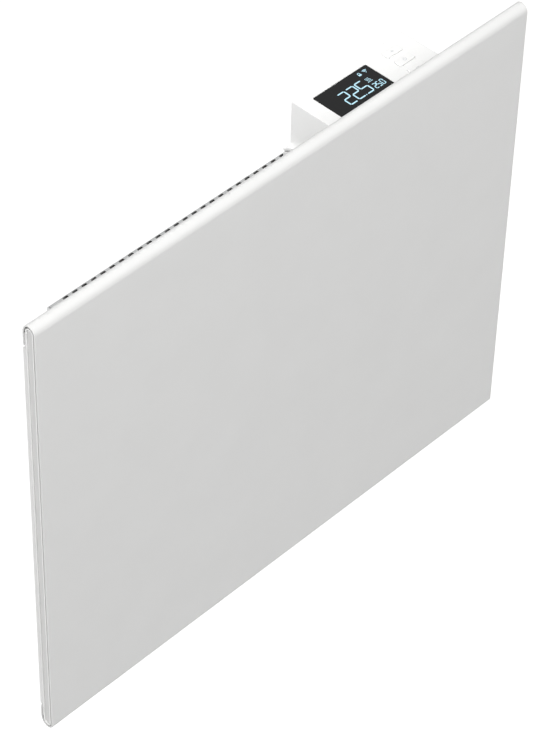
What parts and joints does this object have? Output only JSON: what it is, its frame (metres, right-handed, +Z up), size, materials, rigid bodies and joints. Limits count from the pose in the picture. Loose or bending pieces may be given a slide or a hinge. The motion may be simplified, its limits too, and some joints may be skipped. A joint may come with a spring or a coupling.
{
  "type": "wall panel convector heater",
  "caption": "Wall-hung electric panel convector: folded white front panel, slotted duct behind it, a control unit with display and push buttons on top, and a hook-on wall bracket.",
  "frame": {"origin": "on the wall plane, at the middle of the hanging rail's back face", "axes": "+Z up, -Y towards the room (the front panel's side), +X to the right when facing the heater"},
  "size_m": [0.475, 0.085, 0.4],
  "materials": {
    "white_paint": "satin powder coat",
    "white_cap": "satin powder coat",
    "zinc_sheet": "zinc-plated sheet",
    "white_plastic": "fine matte",
    "display_glass": "gloss",
    "black_plastic": "matte",
    "aluminium": "extruded",
    "steel": "plated",
    "ceramic": "matte",
    "circuit_board": "solder mask",
    "green_plastic": "matte",
    "relay_case": "gloss",
    "rubber": "matte",
    "lead_jacket": "matte"
  },
  "bodies": {
    "wall_bracket": {"hanging_rail": "zinc_sheet", "bracket_upright_left": "zinc_sheet", "spacer_pad_left": "rubber", "bracket_upright_right": "zinc_sheet", "spacer_pad_right": "rubber"},
    "heater": {"front_panel": "white_paint", "inner_pan": "zinc_sheet", "end_cap_left": "white_cap", "end_cap_right": "white_cap", "back_plate": "white_paint", "duct_top_grille": "white_paint", "duct_bottom_grille": "white_paint", "duct_rear_sheet": "white_paint", "duct_end_left": "white_paint", "duct_end_right": "white_paint", "duct_screw_1": "steel", "duct_screw_2": "steel", "duct_screw_3": "steel", "duct_screw_4": "steel", "hanger_left": "zinc_sheet", "hanger_right": "zinc_sheet", "hanger_rivet_1": "aluminium", "hanger_rivet_2": "aluminium", "hanger_rivet_3": "aluminium", "hanger_rivet_4": "aluminium", "heating_element": "aluminium", "element_rod": "steel", "element_bracket_left": "zinc_sheet", "element_bracket_right": "zinc_sheet", "element_bush_left": "ceramic", "element_bush_right": "ceramic", "overheat_cutout": "steel", "lead_to_element": "lead_jacket", "lead_to_cutout": "lead_jacket", "lead_cutout_to_element": "lead_jacket", "cable_gland": "black_plastic", "gland_nut": "black_plastic", "room_sensor": "white_plastic", "control_housing": "white_plastic", "control_base": "white_plastic", "housing_screw_1": "steel", "housing_screw_2": "steel", "housing_screw_3": "steel", "housing_screw_4": "steel", "display_glass": "display_glass", "display_module": "black_plastic", "control_board": "circuit_board", "board_screw_1": "steel", "board_screw_2": "steel", "key_switch_plus": "black_plastic", "key_switch_mode": "black_plastic", "key_switch_minus": "black_plastic", "power_board": "circuit_board", "terminal_block": "green_plastic", "relay": "relay_case", "transformer": "black_plastic"},
    "button_plus": {"button_plus": "white_plastic"},
    "button_mode": {"button_mode": "white_plastic"},
    "button_minus": {"button_minus": "white_plastic"}
  },
  "joints": [
    {"name": "heater_lift", "type": "slide", "parent": "wall_bracket", "child": "heater", "axis": [0, 0, 1], "range_m": [0, 0.01]},
    {"name": "button_plus_press", "type": "slide", "parent": "heater", "child": "button_plus", "axis": [0, 0, -1], "range_m": [0, 0.0005], "stiffness_N_per_m": 1500, "springref_m": -0.0003},
    {"name": "button_mode_press", "type": "slide", "parent": "heater", "child": "button_mode", "axis": [0, 0, -1], "range_m": [0, 0.0005], "stiffness_N_per_m": 1500, "springref_m": -0.0003},
    {"name": "button_minus_press", "type": "slide", "parent": "heater", "child": "button_minus", "axis": [0, 0, -1], "range_m": [0, 0.0005], "stiffness_N_per_m": 1500, "springref_m": -0.0003}
  ]
}
